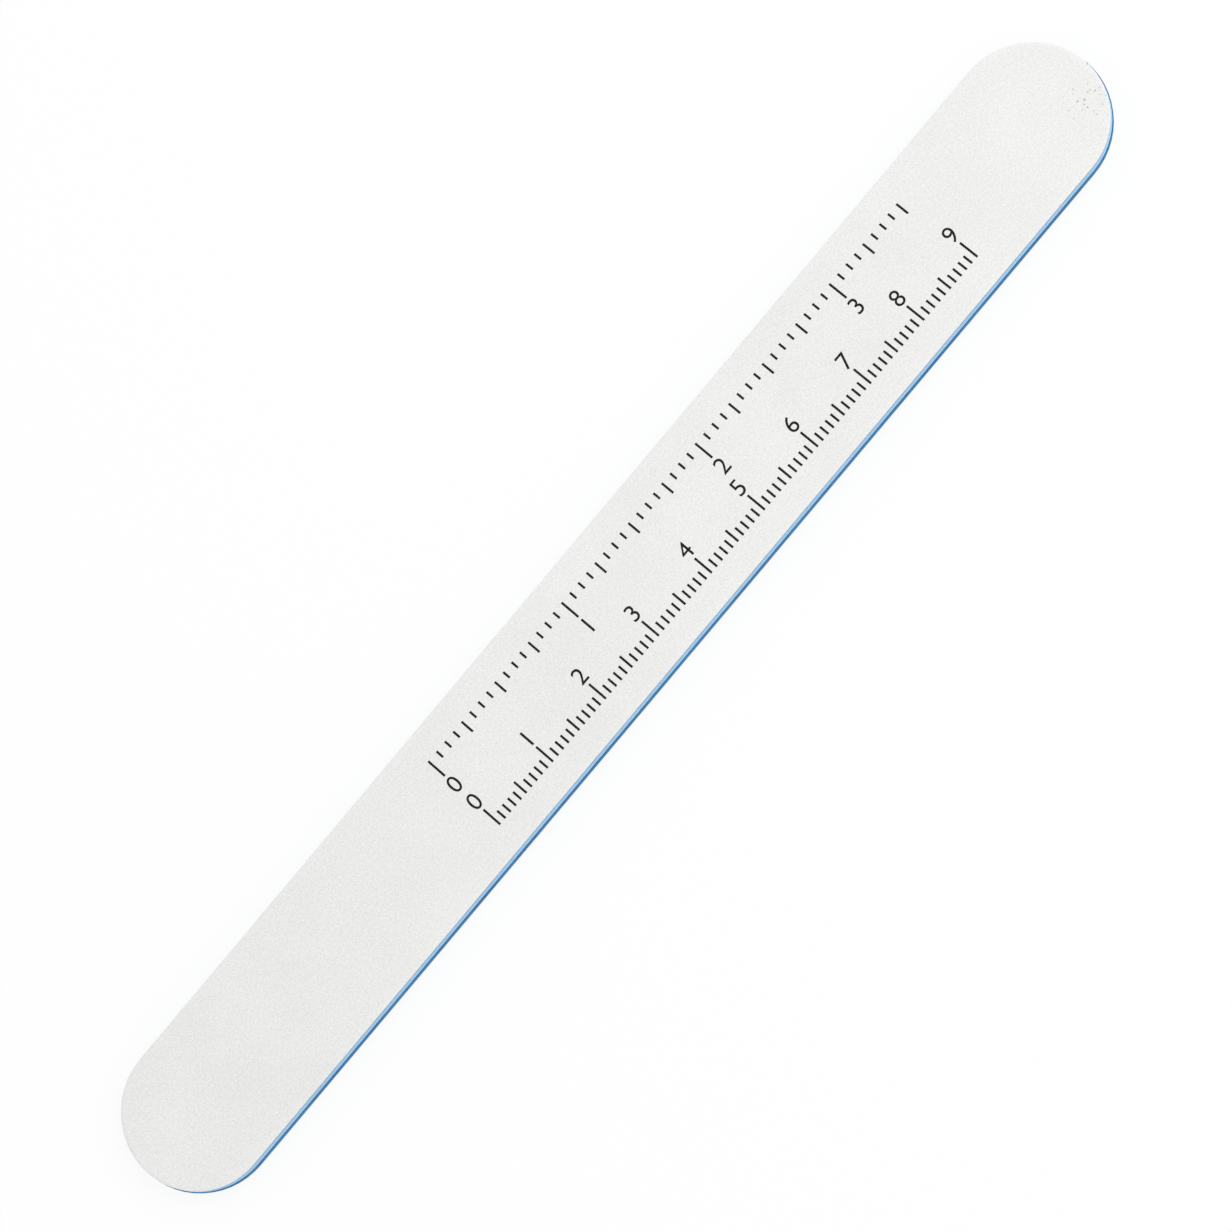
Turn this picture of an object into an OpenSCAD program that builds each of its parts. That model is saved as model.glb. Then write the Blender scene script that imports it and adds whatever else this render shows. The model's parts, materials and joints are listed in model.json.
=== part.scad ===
/* [File] */
// Overall length, measured over the core
file_l = 178; // [120:1:220]
// Overall width, measured over the core
file_w = 20; // [12:0.5:32]

/* [Core] */
// Thickness of the stiff plastic core board
core_t = 1.1; // [0.6:0.1:2]
// Rounding along the two corners of the core's cut edge
core_edge_r = 0.15; // [0.05:0.05:0.25]

/* [Foam pads] */
// Thickness of each foam pad away from the rim
foam_t = 1; // [0.6:0.1:2]
// How far a pad's cut wall draws in halfway down, once the die lets it go
foam_waist = 0.05; // [0:0.01:0.1]

/* [Adhesive films] */
// Thickness of the film between the core and each foam pad
core_film_t = 0.05; // [0.03:0.01:0.15]
// Thickness of the film between each foam pad and its abrasive sheet
sheet_film_t = 0.05; // [0.03:0.01:0.15]

/* [Abrasive sheets] */
// Thickness of the white backing paper
paper_t = 0.2; // [0.12:0.01:0.3]
// Thickness of the resin coat that anchors the grain
make_coat_t = 0.05; // [0.03:0.01:0.08]
// Thickness of the abrasive grain with its white top coats
grain_coat_t = 0.1; // [0.06:0.01:0.2]
// How far the sheet's rim stays inside the core's edge
sheet_inset = 0.25; // [0.1:0.05:0.4]

/* [Pinched rim] */
// Radius at which the die rolls each face down along its rim
rim_r = 1; // [0.8:0.1:1.4]
// Angle through which a face has turned where it is cut off
rim_turn = 30; // [10:5:40]

/* [Hidden] */

half_w = file_w / 2;

// Depths of the layers below a working face, measured square to it
make_depth = grain_coat_t;
paper_depth = make_depth + make_coat_t;
film_depth = paper_depth + paper_t;
foam_depth = film_depth + sheet_film_t;

// Heights above the middle of the core
core_face = core_t / 2;
foam_base = core_face + core_film_t;
foam_top = foam_base + foam_t;
work_face = foam_top + foam_depth;

// The rolled rim turns about one line for every layer, so the layers nest
rim_x = half_w - sheet_inset - rim_r * sin(rim_turn);
rim_z = work_face - rim_r;
pad_x = half_w - core_edge_r;
rim_steps = 6;
wall_steps = 6;
corner_steps = 6;
$fn = 120;

// Points of a layer boundary on the rolled rim, from the flat face outwards
function rolled(depth) = [
    for (i = [0 : rim_steps])
        let (a = rim_turn * i / rim_steps, r = rim_r - depth)
            [rim_x + r * sin(a), rim_z + r * cos(a)]
];

// The cut wall of a foam pad, a shallow curve from its rolled top to its base
function foam_wall() =
    let (
        top = rolled(foam_depth)[rim_steps],
        base = [pad_x, foam_base],
        drawn_in = (top + base) / 2 - [2 * foam_waist, 0]
    )
    [
        for (i = [1 : wall_steps])
            let (s = i / wall_steps)
                (1 - s) * (1 - s) * top + 2 * s * (1 - s) * drawn_in + s * s * base
    ];

// A quarter round on the core's edge, from one angle to another about its centre
function core_corner(z, from, to) = [
    for (i = [0 : corner_steps])
        let (a = from + (to - from) * i / corner_steps)
            [half_w - core_edge_r + core_edge_r * cos(a), z + core_edge_r * sin(a)]
];

function backwards(points) = [for (i = [len(points) - 1 : -1 : 0]) points[i]];

// Half section of a sheet layer that lies between two depths and follows the rim
function sheet_section(upper, lower) = concat(
    [[0, work_face - upper]],
    rolled(upper),
    backwards(rolled(lower)),
    [[0, work_face - lower]]
);

// Both halves of a section as one outline, without the points on the centre line
function across(half) = concat(
    [for (i = [1 : len(half) - 2]) half[i]],
    [for (i = [len(half) - 2 : -1 : 1]) [-half[i].x, half[i].y]]
);

// Carries a half section along both sides of the file and round its two ends
module run_round_file(half) {
    straight = file_l - file_w;
    rotate([90, 0, 90])
        linear_extrude(height = straight, center = true)
            polygon(across(half));
    for (end = [0, 180])
        rotate(end)
            translate([straight / 2, 0, 0])
                rotate(-90)
                    rotate_extrude(angle = 180)
                        polygon(half);
}

// The file lies on its back face, with the middle of the core at this height
module on_front() {
    translate([0, 0, work_face]) children();
}

module on_back() {
    translate([0, 0, work_face]) mirror([0, 0, 1]) children();
}

module core_board() {
    corner_z = core_face - core_edge_r;
    color("#1f66b4")
        run_round_file(concat(
            [[0, core_face]],
            core_corner(corner_z, 90, 0),
            core_corner(-corner_z, 0, -90),
            [[0, -core_face]]
        ));
}

module core_adhesive() {
    color("#d9dfe2")
        run_round_file([[0, foam_base], [pad_x, foam_base], [pad_x, core_face], [0, core_face]]);
}

module foam_pad() {
    color("#93c4ef")
        run_round_file(concat(
            [[0, foam_top]],
            rolled(foam_depth),
            foam_wall(),
            [[0, foam_base]]
        ));
}

module sheet_adhesive() {
    color("#d9dfe2") run_round_file(sheet_section(film_depth, foam_depth));
}

module backing_paper() {
    color("#f4f3ef") run_round_file(sheet_section(paper_depth, film_depth));
}

module make_coat() {
    color("#dcdad2") run_round_file(sheet_section(make_depth, paper_depth));
}

module grain_coat() {
    color("#eeedea") run_round_file(sheet_section(0, make_depth));
}

on_front() core_board();
on_front() core_adhesive();  // front_core_adhesive
on_front() foam_pad();  // front_foam_pad
on_front() sheet_adhesive();  // front_sheet_adhesive
on_front() backing_paper();  // front_backing_paper
on_front() make_coat();  // front_make_coat
on_front() grain_coat();  // front_grain_coat
on_back() core_adhesive();  // back_core_adhesive
on_back() foam_pad();  // back_foam_pad
on_back() sheet_adhesive();  // back_sheet_adhesive
on_back() backing_paper();  // back_backing_paper
on_back() make_coat();  // back_make_coat
on_back() grain_coat();  // back_grain_coat
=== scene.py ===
# %% [markdown]
# # A cushioned nail file
#
# The object is a flat board for shaping nails. It is cut with one stroke of a die out of a
# sandwich: a stiff blue plastic core, light blue foam on both sides of it, and white abrasive
# paper on both outsides. The CAD model holds every layer at its real size. This lesson gives the
# layers their looks: the grit of the two faces, the cut cells of the foam, the ink on the front,
# and then the light and the camera.
#
# Lengths are in metres, so a value in millimetres is multiplied by MM.

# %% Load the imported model
import json
import math

import bmesh
import bpy
from mathutils import Matrix, Vector


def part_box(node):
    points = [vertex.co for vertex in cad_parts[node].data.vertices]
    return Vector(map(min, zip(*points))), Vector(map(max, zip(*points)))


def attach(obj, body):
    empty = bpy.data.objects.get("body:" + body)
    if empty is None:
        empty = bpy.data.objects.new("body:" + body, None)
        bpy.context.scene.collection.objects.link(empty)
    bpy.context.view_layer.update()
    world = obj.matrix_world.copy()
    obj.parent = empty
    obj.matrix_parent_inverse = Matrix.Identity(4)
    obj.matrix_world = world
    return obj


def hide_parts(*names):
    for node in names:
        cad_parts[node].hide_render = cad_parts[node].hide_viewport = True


MM = 0.001

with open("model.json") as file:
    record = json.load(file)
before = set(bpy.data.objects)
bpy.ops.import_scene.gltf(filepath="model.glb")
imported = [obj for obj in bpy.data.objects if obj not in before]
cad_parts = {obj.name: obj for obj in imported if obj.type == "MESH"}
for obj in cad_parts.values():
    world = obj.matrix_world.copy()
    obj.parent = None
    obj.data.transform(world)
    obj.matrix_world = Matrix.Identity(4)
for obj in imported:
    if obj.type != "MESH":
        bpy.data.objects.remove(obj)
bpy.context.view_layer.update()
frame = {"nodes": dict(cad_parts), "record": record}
nodes = frame["nodes"]
print("layers of the model:", ", ".join(sorted(nodes)))

# %% [markdown]
# ## Measure the die cut
#
# The pieces made here replace or cover layers of the CAD model, so they have to have its sizes.
# These are read off the boxes round the layers instead of being typed again. The outline is a
# straight run with a half circle at each end. At the rim the die rolls the face down on an arc.
# Two layers that lie a known depth apart turn about the same line, so the difference between
# their boxes gives the angle of that arc, and the drop of one of them gives its radius.

# %% Outline and rolled rim, from the frame
file_length, file_width, file_thickness = frame["record"]["size"]["bbox_m"]
run = (file_length - file_width) / 2
middle = file_thickness / 2

grain_low, grain_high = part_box("front_grain_coat")
make_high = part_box("front_make_coat")[1]
foam_low, foam_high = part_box("front_foam_pad")

face = grain_high.z
grain_depth = grain_high.z - make_high.z
foam_depth = face - foam_high.z
rim_reach = grain_high.y
rim_turn = math.asin((grain_high.y - make_high.y) / grain_depth)
rim_radius = (face - grain_depth * math.cos(rim_turn) - grain_low.z) / (1 - math.cos(rim_turn))
rim_centre = rim_reach - rim_radius * math.sin(rim_turn)

print(f"straight run {2 * run / MM:.1f} mm, rim radius {rim_radius / MM:.2f} mm,",
      f"turned {math.degrees(rim_turn):.1f} degrees, grain coat {grain_depth / MM:.2f} mm")


def rolled(depth, share):
    """Reach from the centre line, and height, of a layer at a share of the rim's turn."""
    turn = rim_turn * share
    radius = rim_radius - depth
    return rim_centre + radius * math.sin(turn), face - rim_radius + radius * math.cos(turn)


def reach_of(point):
    """Distance of a point from the centre line, which ends at the middles of the round ends."""
    return math.hypot(max(abs(point.x) - run, 0), point.y)


# %% [markdown]
# ## Model a layer the way it is cut
#
# Every layer has the same outline, so one way of modelling serves them all. A plane is added at
# the layer's size and its four corners are bevelled by half the width, which gives true round
# ends. For a moment the face is taken out, because dividing the two long edges would cut it up
# too. What is left is an outline with points that stand evenly all the way round. It is filled,
# and then the face is inset again and again. Each inset is a step inwards and, where the rim
# rolls, a step up as well. The result is an even skin of quads that follow the outline, which the
# rolled rim and the relief need. A grid cut to the outline would be quicker, but its rim would be
# ragged.

# %% Helpers for edit mode


def only(piece):
    """Makes one object the selected and active one."""
    bpy.ops.object.select_all(action="DESELECT")
    piece.select_set(True)
    bpy.context.view_layer.objects.active = piece


def pick(piece, kind, test):
    """In edit mode, selects the vertices, edges or faces that pass a test."""
    bpy.ops.mesh.select_mode(type=kind)
    bpy.ops.mesh.select_all(action="DESELECT")
    shape = bmesh.from_edit_mesh(piece.data)
    parts = {"VERT": shape.verts, "EDGE": shape.edges, "FACE": shape.faces}[kind]
    for part in parts:
        if test(part):
            part.select_set(True)
    bmesh.update_edit_mesh(piece.data)


def triangles(piece):
    """The number of triangles in a piece."""
    return sum(len(polygon.vertices) - 2 for polygon in piece.data.polygons)


def settle(piece):
    """Puts a piece's place, turn and size into its mesh, so that its object sits at the origin."""
    only(piece)
    bpy.ops.object.transform_apply(location=True, rotation=True, scale=True)


# %% A blank with the outline of the file
SAME_POINT = 0.002 * MM


def cut_blank(name, reach, height, pitch):
    """One face with the file's outline, at a reach and a height, with its points a pitch apart."""
    bpy.ops.object.select_all(action="DESELECT")
    bpy.ops.mesh.primitive_plane_add(size=1, location=(0, 0, height))
    blank = bpy.context.object
    blank.name = name
    blank.scale = (2 * (run + reach), 2 * reach, 1)
    settle(blank)
    quarter_steps = round(reach * math.pi / 2 / pitch)
    side_steps = round(2 * run / pitch)
    # The sides are divided in two rounds, because one round makes only so many cuts
    coarse_steps = round(math.sqrt(side_steps))
    fine_steps = round(side_steps / coarse_steps)
    bpy.ops.object.mode_set(mode="EDIT")
    bpy.ops.mesh.select_all(action="SELECT")
    bpy.ops.mesh.bevel(
        offset=reach, segments=quarter_steps, affect="VERTICES", clamp_overlap=False
    )
    bpy.ops.mesh.select_all(action="SELECT")
    bpy.ops.mesh.remove_doubles(threshold=SAME_POINT)
    bpy.ops.mesh.delete(type="ONLY_FACE")
    pick(blank, "EDGE", lambda edge: edge.calc_length() > run)
    bpy.ops.mesh.subdivide(number_cuts=coarse_steps - 1)
    bpy.ops.mesh.subdivide(number_cuts=fine_steps - 1)
    bpy.ops.mesh.select_all(action="SELECT")
    bpy.ops.mesh.edge_face_add()
    bpy.ops.mesh.select_mode(type="FACE")
    if bmesh.from_edit_mesh(blank.data).faces[0].normal.z < 0:
        bpy.ops.mesh.flip_normals()
    return blank


def inset_along(line):
    """Insets the selected face from each (reach, height) of a line to the next one."""
    for (reach, height), (next_reach, next_height) in zip(line, line[1:]):
        bpy.ops.mesh.inset(thickness=reach - next_reach, depth=next_height - height)


def close_piece(piece):
    """Joins coincident points, turns all faces outwards and leaves edit mode."""
    bpy.ops.mesh.select_mode(type="VERT")
    bpy.ops.mesh.select_all(action="SELECT")
    bpy.ops.mesh.remove_doubles(threshold=SAME_POINT)
    bpy.ops.mesh.normals_make_consistent(inside=False)
    bpy.ops.object.mode_set(mode="OBJECT")
    print(f"{piece.name}: {triangles(piece)} triangles")


# %% [markdown]
# ## The grit of the working faces
#
# A working face is a coat of mineral grain with a chalky white top coat, a tenth of a millimetre
# thick. The piece starts at the top of its cut edge and rolls up and in over the rim by insets.
# The flat inside the rim could be inset further, ring after ring, but each ring repeats and
# enlarges the rounding errors of the one before. So it is made in one pull: the face is extruded
# in place, squeezed onto the centre line, and the long walls between are divided. The underside
# is inset in and down for the cut edge, and then in and up below the rolled rim.
#
# The single grains are finer than the pitch of the mesh, so they come with the material.
# What the mesh holds is what the eye sees from a step away: the grains lie in clumps, with
# shallow dips between them. A Displace modifier presses those dips into the upper side only.

# %% The front grit, before its relief
GRIT_PITCH = 0.22 * MM
RIM_STEPS = 6


def stretch_to_centre_line(piece):
    """Pulls the selected face in to the centre line, and divides the walls that this makes."""
    bpy.ops.mesh.extrude_region_move()
    shape = bmesh.from_edit_mesh(piece.data)
    pulled = {vertex.index for vertex in shape.verts if vertex.select}
    for end in (-1, 1):
        pick(piece, "VERT", lambda vertex: vertex.index in pulled and vertex.co.x * end > run)
        bpy.ops.transform.resize(value=(0, 0, 1), center_override=(end * run, 0, face))
    pick(piece, "VERT", lambda vertex: vertex.index in pulled)
    bpy.ops.transform.resize(value=(1, 0, 1), center_override=(0, 0, face))
    pick(piece, "FACE", lambda part: all(vertex.index in pulled for vertex in part.verts))
    bpy.ops.mesh.delete(type="ONLY_FACE")
    pick(piece, "EDGE", lambda edge: edge.calc_length() > rim_centre / 2)
    bpy.ops.mesh.subdivide(number_cuts=round(rim_centre / GRIT_PITCH) - 1)


def grit_blank(name):
    """The grain coat with its rolled rim, as a closed piece with a smooth upper side."""
    upper = [rolled(0, 1 - step / RIM_STEPS) for step in range(RIM_STEPS + 1)]
    under = [rolled(grain_depth, 1 - step / RIM_STEPS) for step in range(RIM_STEPS + 1)]
    piece = cut_blank(name, *upper[0], GRIT_PITCH)
    bpy.ops.mesh.extrude_region_move()
    inset_along(upper)
    stretch_to_centre_line(piece)
    pick(piece, "FACE", lambda part: part.normal.z < -0.5)
    inset_along([(reach, 2 * upper[0][1] - height) for reach, height in [upper[0]] + under])
    close_piece(piece)
    return piece


front_grit = grit_blank("front_grit")

# %% [markdown]
# The back face is the same piece turned over. It is copied before the relief goes in, so that
# the two faces don't have the same clumps.

# %% The back grit, as a mirrored copy


def mirrored(piece, name):
    """A copy with its own mesh, mirrored through the middle of the file."""
    only(piece)
    bpy.ops.object.duplicate()
    copy = bpy.context.object
    copy.name = name
    copy.data.name = name
    copy.scale.z = -1
    copy.location.z = file_thickness
    settle(copy)
    bpy.ops.object.mode_set(mode="EDIT")
    bpy.ops.mesh.select_all(action="SELECT")
    bpy.ops.mesh.normals_make_consistent(inside=False)
    bpy.ops.object.mode_set(mode="OBJECT")
    return copy


back_grit = mirrored(front_grit, "back_grit")
print("back grit from", round(min(v.co.z for v in back_grit.data.vertices) / MM, 3), "mm up")

# %% Press the clumps into both faces
CLUMP_SIZE = 0.55 * MM
CLUMP_DEPTH = 0.03 * MM
SWELL_SIZE = 2.4 * MM
SWELL_DEPTH = 0.02 * MM
SMOOTH_BELOW = math.radians(40)


def on_upper_side(point):
    """Whether a point lies on the upper side of the grain coat, and not on its underside."""
    reach = reach_of(point)
    height = abs(point.z - middle)
    top = face - middle
    if reach > rim_centre:
        top -= rim_radius - math.sqrt(max(rim_radius ** 2 - (reach - rim_centre) ** 2, 0))
    return abs(height - top) < grain_depth / 4


def press(piece, group, basis, size, depth, unmoved=0.0):
    """Presses a pattern into a group of points. Where the pattern is at unmoved, they stay."""
    pattern = bpy.data.textures.new(f"{piece.name}_{basis.lower()}", type="CLOUDS")
    pattern.noise_basis = basis
    pattern.noise_scale = size
    pattern.noise_depth = 1
    only(piece)
    bpy.ops.object.modifier_add(type="DISPLACE")
    push = piece.modifiers[-1]
    push.texture = pattern
    push.texture_coords = "LOCAL"
    push.direction = "NORMAL"
    push.vertex_group = group
    push.strength = -depth
    push.mid_level = unmoved
    bpy.ops.object.modifier_apply(modifier=push.name)


for piece in (front_grit, back_grit):
    upper_side = piece.vertex_groups.new(name="upper_side")
    chosen = [v.index for v in piece.data.vertices if on_upper_side(v.co)]
    upper_side.add(chosen, 1.0, "REPLACE")
    press(piece, "upper_side", "VORONOI_F1", CLUMP_SIZE, CLUMP_DEPTH)
    press(piece, "upper_side", "BLENDER_ORIGINAL", SWELL_SIZE, SWELL_DEPTH)
    only(piece)
    bpy.ops.object.shade_smooth_by_angle(angle=SMOOTH_BELOW)
    print(f"{piece.name}: relief on {len(chosen)} of {len(piece.data.vertices)} points")

# %% [markdown]
# ## The printed scale
#
# The front is printed in black with a measuring scale: centimetres along one side, inches along
# the other, each with plain numbers. Ink on grit is a skin that follows every bump, and it fails
# on the tips of some grains. So the marks are made flat, cut into small cells, dropped onto the
# grit by a Shrinkwrap modifier, and then thickened down into it. Painting the scale in the
# material would save the mesh, but its edges would come out soft and its numbers clumsy.
#
# A tick is modelled once for each row and repeated by an Array modifier. The longer ticks are
# rows of their own, which carry on where the shorter ones end, so that nothing overlaps.

# %% Ticks and numbers
SCALE_START = -28 * MM
SCALE_LENGTH = 90 * MM
TICK_WIDTH = 0.3 * MM
NUMBER_HEIGHT = 2.2 * MM
NUMBER_FROM_CENTRE = 0.55 * MM
CENTIMETRE = 10 * MM
INCH = 25.4 * MM
ABOVE_FACE = face + 1 * MM

# A digit is this share of its font's size high
DIGIT_SHARE = 0.69

# Each row: its side of the centre line, its pitch, and the inner and outer ends of its ticks
TICK_ROWS = (
    (-1, 1 * MM, 4.6 * MM, 6.0 * MM),
    (-1, 5 * MM, 3.9 * MM, 4.6 * MM),
    (-1, CENTIMETRE, 3.2 * MM, 3.9 * MM),
    (1, INCH / 16, 4.9 * MM, 6.0 * MM),
    (1, INCH / 4, 4.1 * MM, 4.9 * MM),
    (1, INCH, 3.2 * MM, 4.1 * MM),
)


def steps_along(pitch):
    """How many whole steps of a pitch the scale holds, with a little room for rounding."""
    return math.floor(SCALE_LENGTH / pitch + 0.001)


def tick_row(side, pitch, inner, outer):
    """A row of equal ticks over the whole scale."""
    bpy.ops.object.select_all(action="DESELECT")
    first_tick = (SCALE_START, side * (inner + outer) / 2, ABOVE_FACE)
    bpy.ops.mesh.primitive_plane_add(size=1, location=first_tick)
    row = bpy.context.object
    row.scale = (TICK_WIDTH, outer - inner, 1)
    settle(row)
    bpy.ops.object.modifier_add(type="ARRAY")
    repeat = row.modifiers[-1]
    repeat.use_relative_offset = False
    repeat.use_constant_offset = True
    repeat.constant_offset_displace = (pitch, 0, 0)
    repeat.count = steps_along(pitch) + 1
    bpy.ops.object.modifier_apply(modifier=repeat.name)
    return row


def number(value, along, foot):
    """A plain number, centred at a place along the file, with its foot at a place across it."""
    bpy.ops.object.select_all(action="DESELECT")
    bpy.ops.object.text_add(location=(along, foot, ABOVE_FACE))
    label = bpy.context.object
    label.data.body = str(value)
    label.data.align_x = "CENTER"
    label.data.size = NUMBER_HEIGHT / DIGIT_SHARE
    label.data.resolution_u = 5
    bpy.ops.object.convert(target="MESH")
    label = bpy.context.object
    settle(label)
    return label


marks = [tick_row(*row) for row in TICK_ROWS]
for count in range(steps_along(CENTIMETRE) + 1):
    place = SCALE_START + count * CENTIMETRE
    marks.append(number(count, place, -NUMBER_FROM_CENTRE - NUMBER_HEIGHT))
for count in range(steps_along(INCH) + 1):
    marks.append(number(count, SCALE_START + count * INCH, NUMBER_FROM_CENTRE))
print(len(marks), "rows and numbers")

# %% Lay the marks on the grit
INK_CELL = 0.2 * MM
INK_SLIVER = 0.003 * MM
INK_ABOVE = 0.008 * MM
INK_THICKNESS = 0.02 * MM


def cut_into_cells(piece, pitch):
    """Cuts a flat piece along a square grid, so that it can follow what it is laid on."""
    corners = [vertex.co.copy() for vertex in piece.data.vertices]
    bpy.ops.object.mode_set(mode="EDIT")
    for axis in (0, 1):
        low = min(corner[axis] for corner in corners)
        high = max(corner[axis] for corner in corners)
        across = [int(index == axis) for index in range(3)]
        for step in range(1, math.ceil((high - low) / pitch)):
            cut = [share * (low + step * pitch) for share in across]
            bpy.ops.mesh.select_all(action="SELECT")
            bpy.ops.mesh.bisect(plane_co=cut, plane_no=across)
    bpy.ops.mesh.select_all(action="SELECT")
    bpy.ops.mesh.remove_doubles(threshold=INK_SLIVER)
    bpy.ops.object.mode_set(mode="OBJECT")


bpy.ops.object.select_all(action="DESELECT")
for mark in marks:
    mark.select_set(True)
bpy.context.view_layer.objects.active = marks[0]
bpy.ops.object.join()
front_scale = bpy.context.object
front_scale.name = "front_scale"
cut_into_cells(front_scale, INK_CELL)

only(front_scale)
bpy.ops.object.modifier_add(type="SHRINKWRAP")
lay = front_scale.modifiers[-1]
lay.target = front_grit
lay.wrap_method = "PROJECT"
lay.use_project_z = True
lay.use_negative_direction = True
lay.use_positive_direction = False
lay.offset = INK_ABOVE
bpy.ops.object.modifier_apply(modifier=lay.name)
bpy.ops.object.modifier_add(type="SOLIDIFY")
thicken = front_scale.modifiers[-1]
thicken.thickness = INK_THICKNESS
thicken.offset = -1
bpy.ops.object.modifier_apply(modifier=thicken.name)
bpy.ops.object.shade_smooth_by_angle(angle=SMOOTH_BELOW)
print(f"front_scale: {triangles(front_scale)} triangles, top at",
      round(max(vertex.co.z for vertex in front_scale.data.vertices) / MM, 3), "mm")

# %% [markdown]
# ## The foam
#
# The foam is closed-cell foam, cut through by the die. Its wall is what makes the light blue
# band round the file. It stands on the core, draws in a little halfway up, and meets the sheet
# under the rolled rim. The die opens the cells that it goes through, so the wall is rough and
# lies a little below its two glued edges. The cells are about a sixth of a millimetre wide, so
# the wall gets a finer pitch than the grit's. The mesh holds the roughness, and the material
# adds the single cells. The faces above and below are glued and never seen, so they stay one
# face each.

# %% Both foam pads
FOAM_PITCH = 0.11 * MM
WALL_STEPS = 10
FOAM_WAIST = 0.05 * MM
CELL_SIZE = 0.17 * MM
CELL_DEPTH = 0.07 * MM
WALL_SMOOTH_BELOW = math.radians(50)
wall_base = foam_low.z - middle
wall_top = rolled(foam_depth, 1)[1] - middle
half_step = (wall_top - wall_base) / WALL_STEPS / 2


def foam_wall():
    """The wall of a pad from its base to the sheet: a shallow curve, drawn in halfway up."""
    base = (foam_high.y, foam_low.z)
    top = rolled(foam_depth, 1)
    line = []
    for step in range(WALL_STEPS + 1):
        share = step / WALL_STEPS
        waist = 4 * FOAM_WAIST * share * (1 - share)
        reach = base[0] + (top[0] - base[0]) * share - waist
        line.append((reach, base[1] + (top[1] - base[1]) * share))
    return line


def foam_blank(name):
    """A foam pad as a closed piece, with the fine points that its rough wall needs."""
    wall = foam_wall()
    under_sheet = [rolled(foam_depth, 1 - step / RIM_STEPS) for step in range(1, RIM_STEPS + 1)]
    piece = cut_blank(name, *wall[0], FOAM_PITCH)
    bpy.ops.mesh.extrude_region_move()
    inset_along(wall + under_sheet)
    close_piece(piece)
    return piece


front_foam = foam_blank("front_foam")
back_foam = mirrored(front_foam, "back_foam")

# The first and last points of the wall stay, so that it still meets the core and the sheet
for piece in (front_foam, back_foam):
    wall_side = piece.vertex_groups.new(name="wall_side")
    chosen = [v.index for v in piece.data.vertices
              if wall_base + half_step < abs(v.co.z - middle) < wall_top - half_step]
    wall_side.add(chosen, 1.0, "REPLACE")
    press(piece, "wall_side", "VORONOI_F2_F1", CELL_SIZE, -CELL_DEPTH, unmoved=1.0)
    only(piece)
    bpy.ops.object.shade_smooth_by_angle(angle=WALL_SMOOTH_BELOW)
    print(f"{piece.name}: relief on {len(chosen)} of {len(piece.data.vertices)} points")

# %% [markdown]
# ## Shader maths
#
# A material here is a sum of small patterns. Written as nodes and links by hand, such sums are
# hard to read, so one small class wraps a socket. Python's own operators then add the Math
# nodes, and every other node comes from one method.

# %% A wire that can be added and multiplied


class Wire:
    """A socket of a material's node tree. Operators on it add Math nodes."""

    def __init__(self, tree, socket=None):
        self.tree = tree
        self.socket = socket

    def node(self, kind, settings=None, inputs=None, output=0):
        """Adds a node: its settings first, then a value or a wire for each socket named."""
        made = self.tree.nodes.new(kind)
        for name, value in (settings or {}).items():
            setattr(made, name, value)
        for name, value in (inputs or {}).items():
            if isinstance(value, Wire):
                self.tree.links.new(value.socket, made.inputs[name])
            else:
                made.inputs[name].default_value = value
        return Wire(self.tree, made.outputs[output])

    def maths(self, operation, first, second=0.0):
        """One Math node on two values or wires."""
        return self.node("ShaderNodeMath", {"operation": operation}, {0: first, 1: second})

    def __add__(self, other):
        return self.maths("ADD", self, other)

    __radd__ = __add__

    def __mul__(self, other):
        return self.maths("MULTIPLY", self, other)

    __rmul__ = __mul__

    def __sub__(self, other):
        return self.maths("SUBTRACT", self, other)

    def __rsub__(self, other):
        return self.maths("SUBTRACT", other, self)

    def ramp(self, start, end):
        """This value as a smooth step, from 0 at start to 1 at end."""
        values = {"Value": self, "From Min": start, "From Max": end}
        return self.node("ShaderNodeMapRange", {"interpolation_type": "SMOOTHSTEP"}, values)

    def blend(self, first, second):
        """Two colours mixed by this value."""
        colours = {0: self, 6: first, 7: second}
        return self.node("ShaderNodeMix", {"data_type": "RGBA"}, colours, output=2)


def along_axis(point, axis):
    """One coordinate of a place, by the name of its axis."""
    return point.node("ShaderNodeSeparateXYZ", None, {0: point}, axis)


def noise(point, size, detail=2.0, stretch=(1, 1, 1)):
    """Noise with features of a size in metres, stretched along the axes."""
    scale = [1 / size / share for share in stretch]
    place = point.node("ShaderNodeVectorMath", {"operation": "MULTIPLY"}, {0: point, 1: scale})
    return place.node("ShaderNodeTexNoise", None,
                      {"Vector": place, "Scale": 1.0, "Detail": detail})


def cells(point, size, output="Distance"):
    """Distance to the nearest of many scattered points, about a size apart."""
    return point.node("ShaderNodeTexVoronoi", None, {"Vector": point, "Scale": 1 / size}, output)


def new_material(name):
    """Returns a new material, its surface node, and the place of a point on the piece."""
    material = bpy.data.materials.new(name)
    material.use_nodes = True
    tree = material.node_tree
    surface = tree.nodes["Principled BSDF"]
    point = Wire(tree).node("ShaderNodeTexCoord", output="Object")
    return material, surface, point


def feed(surface, name, wire):
    """Links a wire to a socket of the surface node."""
    wire.tree.links.new(wire.socket, surface.inputs[name])


def bump(height, distance, strength=1.0):
    """A normal from a height that varies from 0 to 1 over a distance in metres."""
    return height.node("ShaderNodeBump", None,
                       {"Height": height, "Distance": distance, "Strength": strength})


def colour(red, green, blue):
    """A colour with no transparency."""
    return red, green, blue, 1.0


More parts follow.
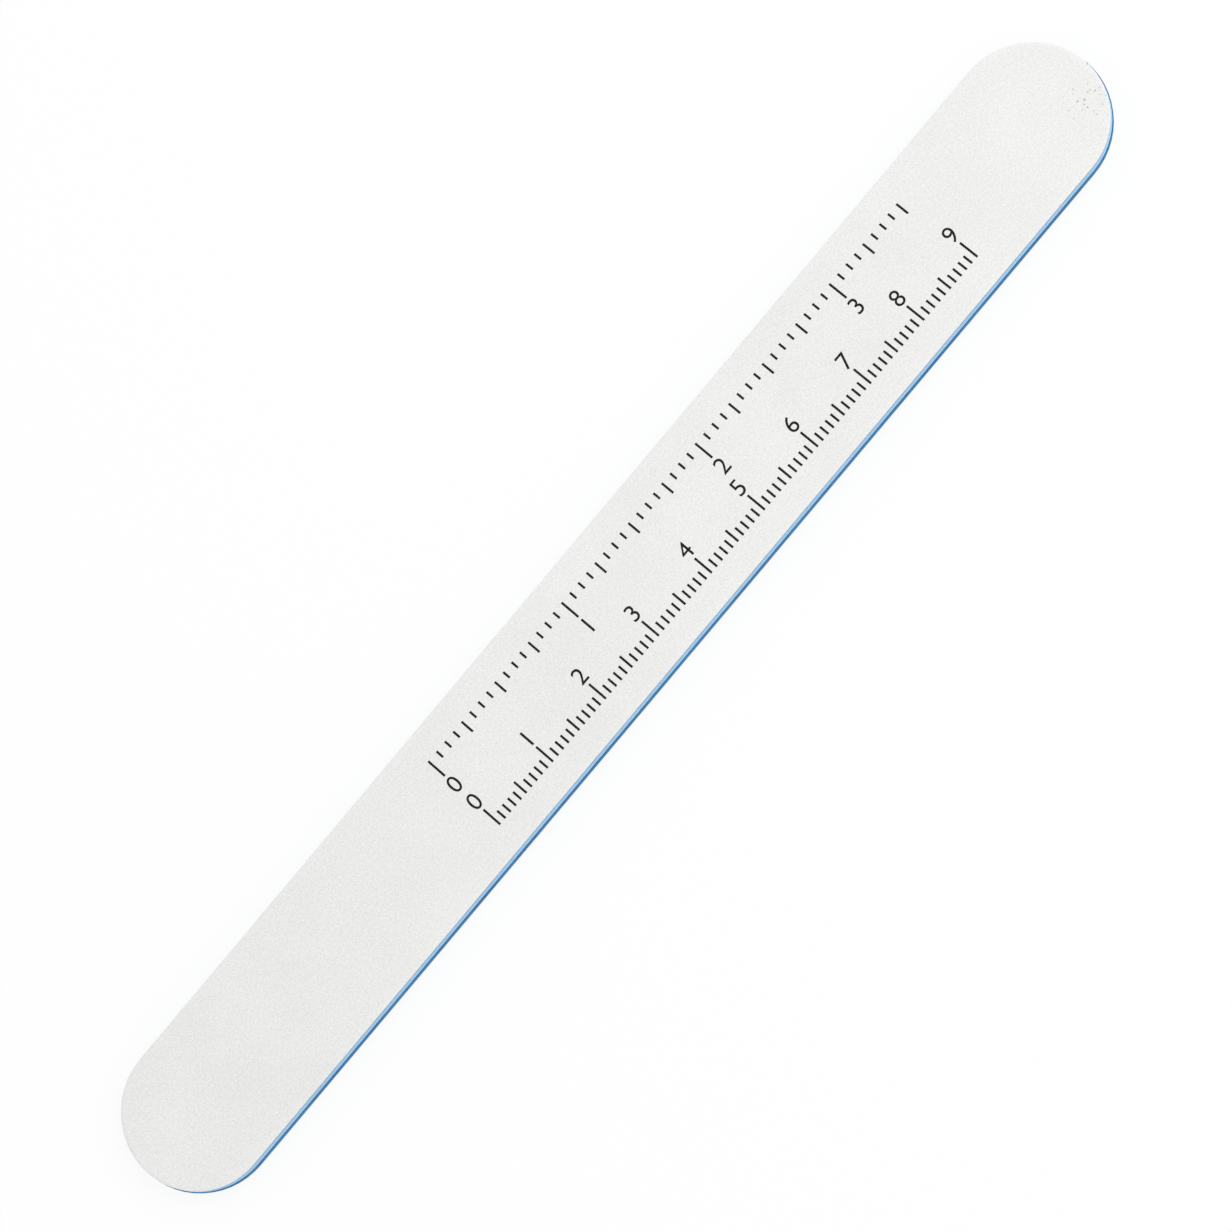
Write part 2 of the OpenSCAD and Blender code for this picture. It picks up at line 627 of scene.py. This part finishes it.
# %% [markdown]
# ## White grit
#
# The face is a warm white, a little uneven, and quite matt. Its detail comes at three scales:
# grains of an eighth of a millimetre, clumps of about a third, and broad clouds of tone. The
# rolled rim is painted a shade brighter and cooler, as a painted highlight. A few dark crumbs of
# grain lie on the front, most of them near one end. The rim's painted highlight and the crumbs
# are placed by distance: the file's outline is every point at one distance from its centre line.

# %% The grit material
# The painted highlight on the rim begins and is full at these distances in from the cut edge
RIM_HIGHLIGHT_BEGINS = 1.1 * MM
RIM_HIGHLIGHT_FULL = 0.2 * MM
RIM_HIGHLIGHT_SHARE = 0.55

# The crumbs thin out from one radius round their place to the other, and so does the chip
CRUMBS_PLACE = (85 * MM, -3.9 * MM)
CRUMBS_RADII = (1 * MM, 3.5 * MM)
CHIP_PLACE = (88.55 * MM, -1 * MM)
CHIP_RADII = (0.06 * MM, 0.14 * MM)


def distance_to_line(point):
    """Distance of a place from the file's centre line, for shaders."""
    x = along_axis(point, "X")
    y = along_axis(point, "Y")
    past = x.maths("MAXIMUM", x.maths("ABSOLUTE", x) - run, 0.0)
    return x.maths("SQRT", past * past + y * y)


def near(point, place, radii):
    """1 close to a place on the face, falling to 0 between two radii round it."""
    along = along_axis(point, "X") - place[0]
    aside = along_axis(point, "Y") - place[1]
    return 1 - along.maths("SQRT", along * along + aside * aside).ramp(*radii)


def white_grit(name):
    """Chalky abrasive with clumps, grains, a painted rim highlight and a few dark crumbs."""
    material, surface, point = new_material(name)
    clouds = noise(point, size=9 * MM)
    clumps = noise(point, size=0.36 * MM, detail=3.0)
    grains = cells(point, size=0.13 * MM)
    tone = 0.5 * clumps + 0.2 * clouds + 0.3 * (1 - grains)
    light = tone.ramp(0.34, 0.66)
    white = light.blend(colour(0.835, 0.831, 0.817), colour(0.935, 0.931, 0.916))
    highlight_white = light.blend(colour(0.850, 0.852, 0.851), colour(0.950, 0.952, 0.951))
    reach = distance_to_line(point)
    # Painted highlight: the rolled rim is painted a shade brighter and cooler than the face
    rim = reach.ramp(rim_reach - RIM_HIGHLIGHT_BEGINS, rim_reach - RIM_HIGHLIGHT_FULL)
    rim_highlighted = (RIM_HIGHLIGHT_SHARE * rim).blend(white, highlight_white)
    front = along_axis(point, "Z").ramp(middle, face)
    ragged = cells(point, size=0.62 * MM) + 0.3 * noise(point, size=0.12 * MM)
    loose = near(point, CRUMBS_PLACE, CRUMBS_RADII) * (1 - ragged.ramp(0.33, 0.41))
    stray = 1 - cells(point, size=5 * MM).ramp(0.01, 0.02)
    chip = near(point, CHIP_PLACE, CHIP_RADII)
    crumbs = 0.6 * front * loose + 0.3 * stray + 0.6 * front * chip
    cover = crumbs.maths("MINIMUM", crumbs, 1.0)
    feed(surface, "Base Color", cover.blend(rim_highlighted, colour(0.25, 0.24, 0.22)))
    feed(surface, "Roughness", 0.85 + 0.12 * clumps)
    feed(surface, "Normal", bump(0.7 * (1 - grains) + 0.3 * clumps, distance=0.08 * MM))
    return material


def black_ink(name):
    """Black ink that has missed the tips of some grains."""
    material, surface, point = new_material(name)
    missed = noise(point, size=0.1 * MM).ramp(0.64, 0.74)
    surface.inputs["Specular IOR Level"].default_value = 0.2
    ink = (0.6 * missed).blend(colour(0.006, 0.006, 0.005), colour(0.55, 0.55, 0.53))
    feed(surface, "Base Color", ink)
    feed(surface, "Roughness", 0.65 + 0.25 * noise(point, size=0.3 * MM))
    feed(surface, "Normal", bump(cells(point, size=0.16 * MM), distance=0.02 * MM))
    return material


grit_material = white_grit("white_grit")
ink_material = black_ink("black_ink")
print("made", grit_material.name, "and", ink_material.name)

# %% [markdown]
# ## Foam, core, paper and films
#
# The foam is soft and matt, and its cut cells vary in tone. Towards the sheet it is painted
# dark: painted shade, where the overhanging sheet shades the top of its wall. The core is
# hard plastic with a dull shine. The die shears it, which leaves fine lines through its thickness,
# so its noise is stretched along Z. The cut paper shows fibres that lie flat, so there the noise
# is squeezed along Z. The resin and the adhesive show only as hairlines.

# %% The other materials
# The painted shade under the sheet starts at this share of the way up the foam's wall
SHADE_UNDER_SHEET_BEGINS = 0.08


def light_foam(name):
    """Light blue closed-cell foam, cut through its cells, with painted shade towards the sheet."""
    material, surface, point = new_material(name)
    open_cells = cells(point, size=CELL_SIZE)
    haze = noise(point, size=3 * MM)
    tone = (0.7 * open_cells + 0.3 * haze).ramp(0.1, 0.7)
    blue = tone.blend(colour(0.34, 0.62, 0.95), colour(0.46, 0.73, 0.98))
    # Painted shade: the top of the wall is painted dark, where the sheet above shades it
    painted_shade_colour = tone.blend(colour(0.05, 0.08, 0.10), colour(0.09, 0.12, 0.15))
    height = along_axis(point, "Z") - middle
    shade_base = wall_base + SHADE_UNDER_SHEET_BEGINS * (wall_top - wall_base)
    shade_under_sheet = height.maths("ABSOLUTE", height).ramp(shade_base, wall_top)
    feed(surface, "Base Color", shade_under_sheet.blend(blue, painted_shade_colour))
    feed(surface, "Roughness", 0.75 + 0.2 * haze)
    rough_skin = 0.8 * open_cells + 0.2 * noise(point, size=0.06 * MM)
    feed(surface, "Normal", bump(rough_skin, distance=0.06 * MM))
    return material


def sheared_plastic(name):
    """Deep blue plastic with the lines that a die leaves through its thickness."""
    material, surface, point = new_material(name)
    lines = noise(point, size=0.12 * MM, detail=3.0, stretch=(1, 1, 12))
    haze = noise(point, size=4 * MM)
    tone = (0.6 * lines + 0.4 * haze).ramp(0.3, 0.7)
    surface.inputs["Specular IOR Level"].default_value = 0.25
    blue = tone.blend(colour(0.022, 0.138, 0.318), colour(0.042, 0.228, 0.495))
    feed(surface, "Base Color", blue)
    feed(surface, "Roughness", 0.45 + 0.3 * lines)
    feed(surface, "Normal", bump(lines, distance=0.02 * MM, strength=0.6))
    return material


def cut_paper(name):
    """White paper whose cut edge shows fibres that lie flat."""
    material, surface, point = new_material(name)
    fibres = noise(point, size=0.18 * MM, detail=4.0, stretch=(1, 1, 0.15))
    white = fibres.ramp(0.3, 0.7).blend(colour(0.84, 0.84, 0.82), colour(0.93, 0.93, 0.92))
    feed(surface, "Base Color", white)
    feed(surface, "Roughness", 0.8 + 0.15 * fibres)
    feed(surface, "Normal", bump(fibres, distance=0.015 * MM))
    return material


def set_resin(name, dark, light, roughness):
    """A hairline of resin or adhesive, cloudy from dark to light."""
    material, surface, point = new_material(name)
    cloud = noise(point, size=0.3 * MM, detail=3.0)
    feed(surface, "Base Color", cloud.ramp(0.3, 0.7).blend(dark, light))
    feed(surface, "Roughness", roughness + 0.15 * cloud)
    return material


foam_material = light_foam("light_foam")
core_material = sheared_plastic("blue_core")
paper_material = cut_paper("white_paper")
resin_material = set_resin("make_resin", colour(0.74, 0.73, 0.69), colour(0.84, 0.83, 0.79), 0.6)
film_material = set_resin("adhesive_film", colour(0.62, 0.70, 0.76), colour(0.74, 0.81, 0.86), 0.3)

# %% [markdown]
# The layers that keep their CAD mesh only need a material. A piece made here also gets a
# material, is attached to the body that it moves with, and hides the layer that it stands for.
# The foam gives a little under a nail.

# %% Give each layer its material
LAYER_MATERIALS = {
    "core_board": core_material,
    "core_adhesive": film_material,
    "sheet_adhesive": film_material,
    "backing_paper": paper_material,
    "make_coat": resin_material,
}


def dress(piece, material):
    """Gives a piece one material."""
    piece.data.materials.clear()
    piece.data.materials.append(material)


for layer, material in LAYER_MATERIALS.items():
    for name, node in nodes.items():
        if name.endswith(layer):
            dress(node, material)
            print(f"{name}: {material.name}")

for piece, node_name in ((front_grit, "front_grain_coat"), (back_grit, "back_grain_coat")):
    dress(piece, grit_material)
    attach(piece, "root")
    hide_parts(node_name)

dress(front_scale, ink_material)
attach(front_scale, "root")

for piece, node_name in ((front_foam, "front_foam_pad"), (back_foam, "back_foam_pad")):
    dress(piece, foam_material)
    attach(piece, "root")
    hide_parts(node_name)

# %% [markdown]
# ## Floor, light and camera
#
# The floor is plain and white, so it stands for the white background. Seen by the camera it is
# part lamp and part surface: the lamp part keeps it white to the edges, and the surface part
# still takes the file's shadow. Shiny and clear surfaces see the floor and the sky in the same
# way as the camera does. The light is soft and nearly even: a white sky, with one weak lamp
# beyond the far end, because the photograph is a little brighter there.

# %% Floor
FLOOR_SIZE = 4
FLOOR_GLOW = 0.88
WHITE = colour(1, 1, 1)


def seen(tree):
    """1 for what the camera sees, straight or by a shiny or clear surface, and 0 otherwise."""
    path = tree.nodes.new("ShaderNodeLightPath")
    kinds = ("Is Camera Ray", "Is Glossy Ray", "Is Transmission Ray")
    straight, shiny, clear = (Wire(tree, path.outputs[kind]) for kind in kinds)
    return straight.maths("MAXIMUM", straight, straight.maths("MAXIMUM", shiny, clear))


bpy.ops.object.select_all(action="DESELECT")
bpy.ops.mesh.primitive_plane_add(size=FLOOR_SIZE)
floor = bpy.context.object
floor.name = "floor"

floor_material = bpy.data.materials.new("floor_white")
floor_material.use_nodes = True
floor_tree = floor_material.node_tree
floor_surface = floor_tree.nodes["Principled BSDF"]
floor_surface.inputs["Base Color"].default_value = colour(0.97, 0.97, 0.97)
floor_surface.inputs["Roughness"].default_value = 0.9
start = Wire(floor_tree)
glow = start.node("ShaderNodeEmission", None, {"Color": WHITE, "Strength": 1.0})
matt = Wire(floor_tree, floor_surface.outputs["BSDF"])
glow_share = seen(floor_tree) * FLOOR_GLOW
both = start.node("ShaderNodeMixShader", None, {0: glow_share, 1: matt, 2: glow})
floor_out = floor_tree.nodes["Material Output"]
floor_tree.links.new(both.socket, floor_out.inputs["Surface"])
dress(floor, floor_material)
print("floor", floor.dimensions[:])

# %% Sky and lamp
SKY_STRENGTH = 0.77
LAMP_POWER = 1.07
LAMP_SIZE = 0.4
LAMP_PLACE = (0.3, -0.05, 0.5)

world = bpy.data.worlds.new("studio")
bpy.context.scene.world = world
world.use_nodes = True
sky_tree = world.node_tree
sky_strength = seen(sky_tree) * (1 - SKY_STRENGTH) + SKY_STRENGTH
sky = sky_strength.node("ShaderNodeBackground", None, {"Color": WHITE, "Strength": sky_strength})
sky_tree.links.new(sky.socket, sky_tree.nodes["World Output"].inputs["Surface"])

bpy.ops.object.light_add(type="AREA", location=LAMP_PLACE)
lamp = bpy.context.object
lamp.name = "far_lamp"
lamp.data.size = LAMP_SIZE
lamp.data.energy = LAMP_POWER
lamp.rotation_mode = "QUATERNION"
lamp.rotation_quaternion = lamp.location.to_track_quat("Z", "Y")
print("lamp", LAMP_POWER, "W")

# %% [markdown]
# The camera looks down on the front of the file and leans thirteen degrees over its near long
# edge, which is why a thin strip of that edge shows. It leans one degree towards the far end as
# well, and it is turned so that the file runs up to the right. These angles and the distance
# come from fitting the file's outline to the photograph's.

# %% Camera
# Blender takes these two in millimetres
SENSOR_WIDTH = 36
FOCAL_LENGTH = 100

TURN = math.radians(49.69)
LEAN_OVER_EDGE = math.radians(12.8)
LEAN_TO_END = math.radians(1.21)
CAMERA_DISTANCE = 419.2 * MM
CENTRE_ASIDE = Vector((0.17 * MM, 0.40 * MM, 0))

bpy.ops.object.camera_add()
camera = bpy.context.object
camera.data.sensor_width = SENSOR_WIDTH
camera.data.lens = FOCAL_LENGTH
to_camera = (
    Matrix.Rotation(TURN, 3, "Z")
    @ Matrix.Rotation(-LEAN_OVER_EDGE, 3, "X")
    @ Matrix.Rotation(-LEAN_TO_END, 3, "Y")
)
from_camera = to_camera.transposed()
offset = CENTRE_ASIDE + Vector((0, 0, CAMERA_DISTANCE))
place = Vector((0, 0, middle)) + from_camera @ offset
camera.matrix_world = Matrix.Translation(place) @ from_camera.to_4x4()
camera.data.dof.use_dof = False
bpy.context.scene.camera = camera
bpy.context.scene.view_settings.view_transform = "Standard"
print("camera at", [round(value, 3) for value in camera.location])
